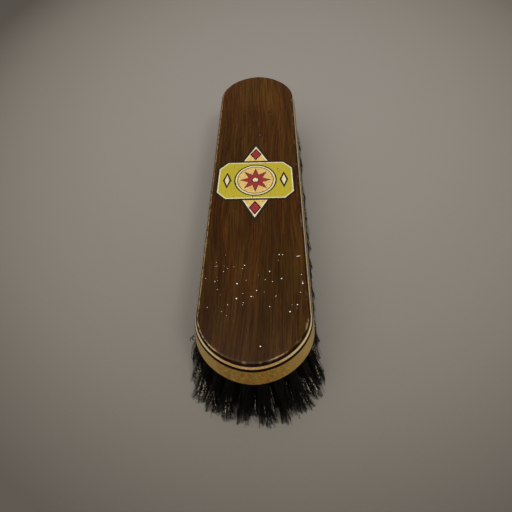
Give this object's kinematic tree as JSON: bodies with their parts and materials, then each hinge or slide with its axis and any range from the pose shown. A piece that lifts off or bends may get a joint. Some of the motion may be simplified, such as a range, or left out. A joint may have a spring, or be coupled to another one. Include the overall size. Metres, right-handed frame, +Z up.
{
  "type": "shoe shine brush",
  "caption": "Horsehair shoe shine brush: a tapered, round-ended block of laminated hardwood, drilled and drawn with splayed tufts of bristle, with a printed transfer on its flat back.",
  "frame": {"origin": "under the middle of the block, in the plane of the trimmed bristle tips", "axes": "+Y along the block towards its narrow end, +Z up from the bristle tips to the walnut back, +X to the right when looking along +Y"},
  "size_m": [0.0622, 0.2057, 0.0445],
  "materials": {
    "varnished_stock": "amber varnish, satin gloss",
    "dark_line_wood": "dark dyed veneer under varnish",
    "pale_line_wood": "pale veneer under varnish",
    "walnut": "walnut with straight grain, thin worn varnish",
    "printed_transfer": "varnished print",
    "horsehair": "black horsehair with a few pale hairs",
    "brass_wire": "drawn wire, dull"
  },
  "bodies": {
    "root": {"stock_board": "varnished_stock", "dark_line": "dark_line_wood", "pale_line": "pale_line_wood", "walnut_back": "walnut", "transfer": "printed_transfer", "tuft_row_1": "horsehair", "tuft_row_2": "horsehair", "tuft_row_3": "horsehair", "tuft_row_4": "horsehair", "tuft_row_5": "horsehair", "tuft_row_6": "horsehair", "tuft_row_7": "horsehair", "tuft_row_8": "horsehair", "tuft_row_9": "horsehair", "drawing_wire_1": "brass_wire", "drawing_wire_2": "brass_wire", "drawing_wire_3": "brass_wire", "drawing_wire_4": "brass_wire", "drawing_wire_5": "brass_wire", "drawing_wire_6": "brass_wire", "drawing_wire_7": "brass_wire", "drawing_wire_8": "brass_wire", "drawing_wire_9": "brass_wire"}
  },
  "joints": []
}
